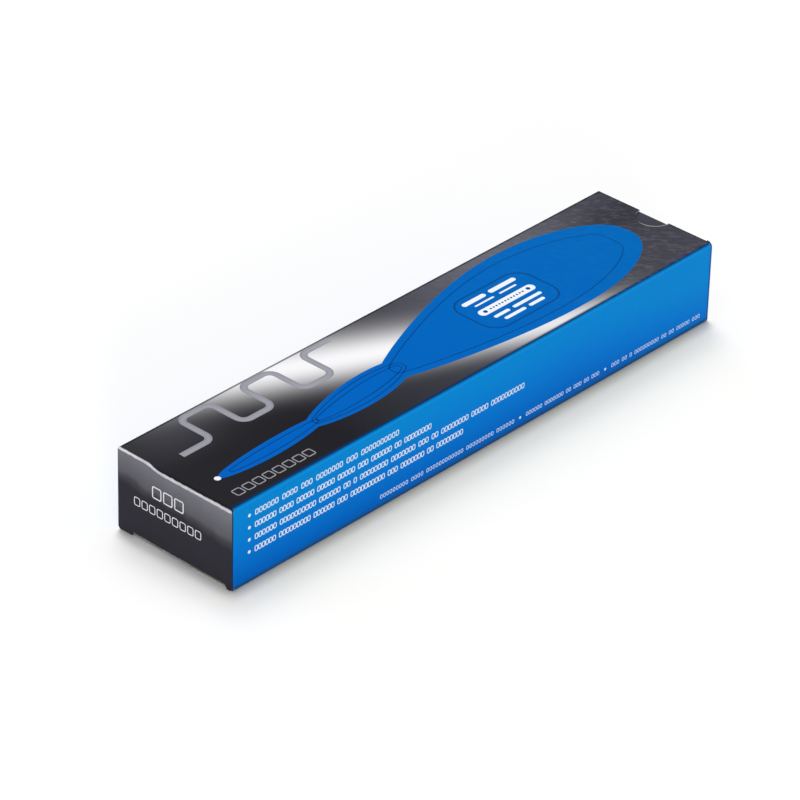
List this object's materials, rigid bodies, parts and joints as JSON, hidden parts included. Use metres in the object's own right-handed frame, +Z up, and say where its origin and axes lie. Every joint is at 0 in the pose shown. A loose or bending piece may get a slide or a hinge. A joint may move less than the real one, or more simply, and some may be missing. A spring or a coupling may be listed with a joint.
{
  "type": "folding carton",
  "caption": "Slim closed paperboard carton with glued side seam, tuck-in lid at each end, dust flaps inside and half-moon thumb notches.",
  "frame": {"origin": "under the middle of the carton, on the outer face of the bottom panel, where the carton rests", "axes": "+X along the length, the lid hinged at the top at -X; -Y the plain blue side panel that faces the viewer; +Z up"},
  "size_m": [0.25, 0.055, 0.0335],
  "materials": {
    "printed_board": "solid bleached paperboard 0.5 mm thick, printed blue and black outside under a gloss aqueous varnish, bare white inside and on the cut edges"
  },
  "bodies": {
    "sleeve": {"carton_sleeve": "printed_board"},
    "near_lid": {"near_lid": "printed_board"},
    "far_lid": {"far_lid": "printed_board"}
  },
  "joints": [
    {"name": "near_lid_hinge", "type": "hinge", "parent": "sleeve", "child": "near_lid", "pos_m": [-0.12477, 0, 0.03327], "axis": [0, 1, 0], "range_deg": [0, 180]},
    {"name": "far_lid_hinge", "type": "hinge", "parent": "sleeve", "child": "far_lid", "pos_m": [0.12477, 0, 0.00023], "axis": [0, 1, 0], "range_deg": [0, 90]}
  ]
}
